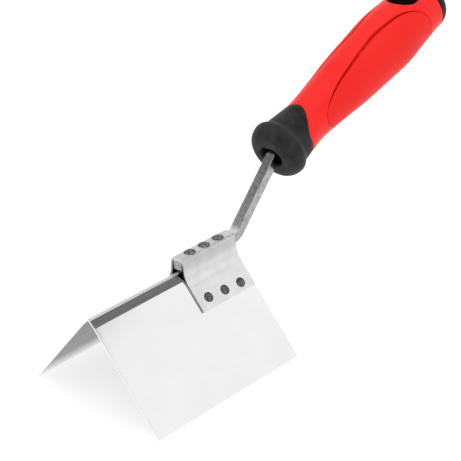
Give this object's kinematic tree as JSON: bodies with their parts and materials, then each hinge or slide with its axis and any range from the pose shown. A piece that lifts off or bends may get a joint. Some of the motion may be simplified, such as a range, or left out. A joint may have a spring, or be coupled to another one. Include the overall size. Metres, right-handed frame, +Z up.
{
  "type": "corner trowel",
  "caption": "Drywall corner trowel: a folded steel blade under a riveted saddle bracket, a cranked square shank and a moulded red and black grip with a hang hole.",
  "frame": {"origin": "on the inside of the ridge, where a wall's corner sits, halfway along the blade", "axes": "+X along the ridge towards the handle, +Y to the tool's left, +Z up, away from the work, in the plane that halves the angle between the flaps"},
  "size_m": [0.2406, 0.0808, 0.1358],
  "materials": {
    "blade_steel": "bright polished stainless sheet with a fine lengthwise grain",
    "bracket_steel": "satin rolled sheet",
    "bar_steel": "dull drawn bar with light scratches",
    "rivet_steel": "dark, dull, hammered heads",
    "collar_rubber": "matte black soft-touch rubber",
    "core_plastic": "fine-textured black moulding",
    "grip_red": "satin red moulding with a soft shine",
    "panel_red": "matte red soft-touch inlay"
  },
  "bodies": {
    "root": {"blade": "blade_steel", "saddle_bracket": "bracket_steel", "shank_bar": "bar_steel", "front_collar": "collar_rubber", "handle_core": "core_plastic", "grip_sleeve": "grip_red", "left_grip_panel": "panel_red", "right_grip_panel": "panel_red", "butt_cap": "core_plastic", "top_rivet_front": "rivet_steel", "top_rivet_middle": "rivet_steel", "top_rivet_rear": "rivet_steel", "left_rivet_front": "rivet_steel", "left_rivet_middle": "rivet_steel", "left_rivet_rear": "rivet_steel", "right_rivet_front": "rivet_steel", "right_rivet_middle": "rivet_steel", "right_rivet_rear": "rivet_steel"}
  },
  "joints": []
}
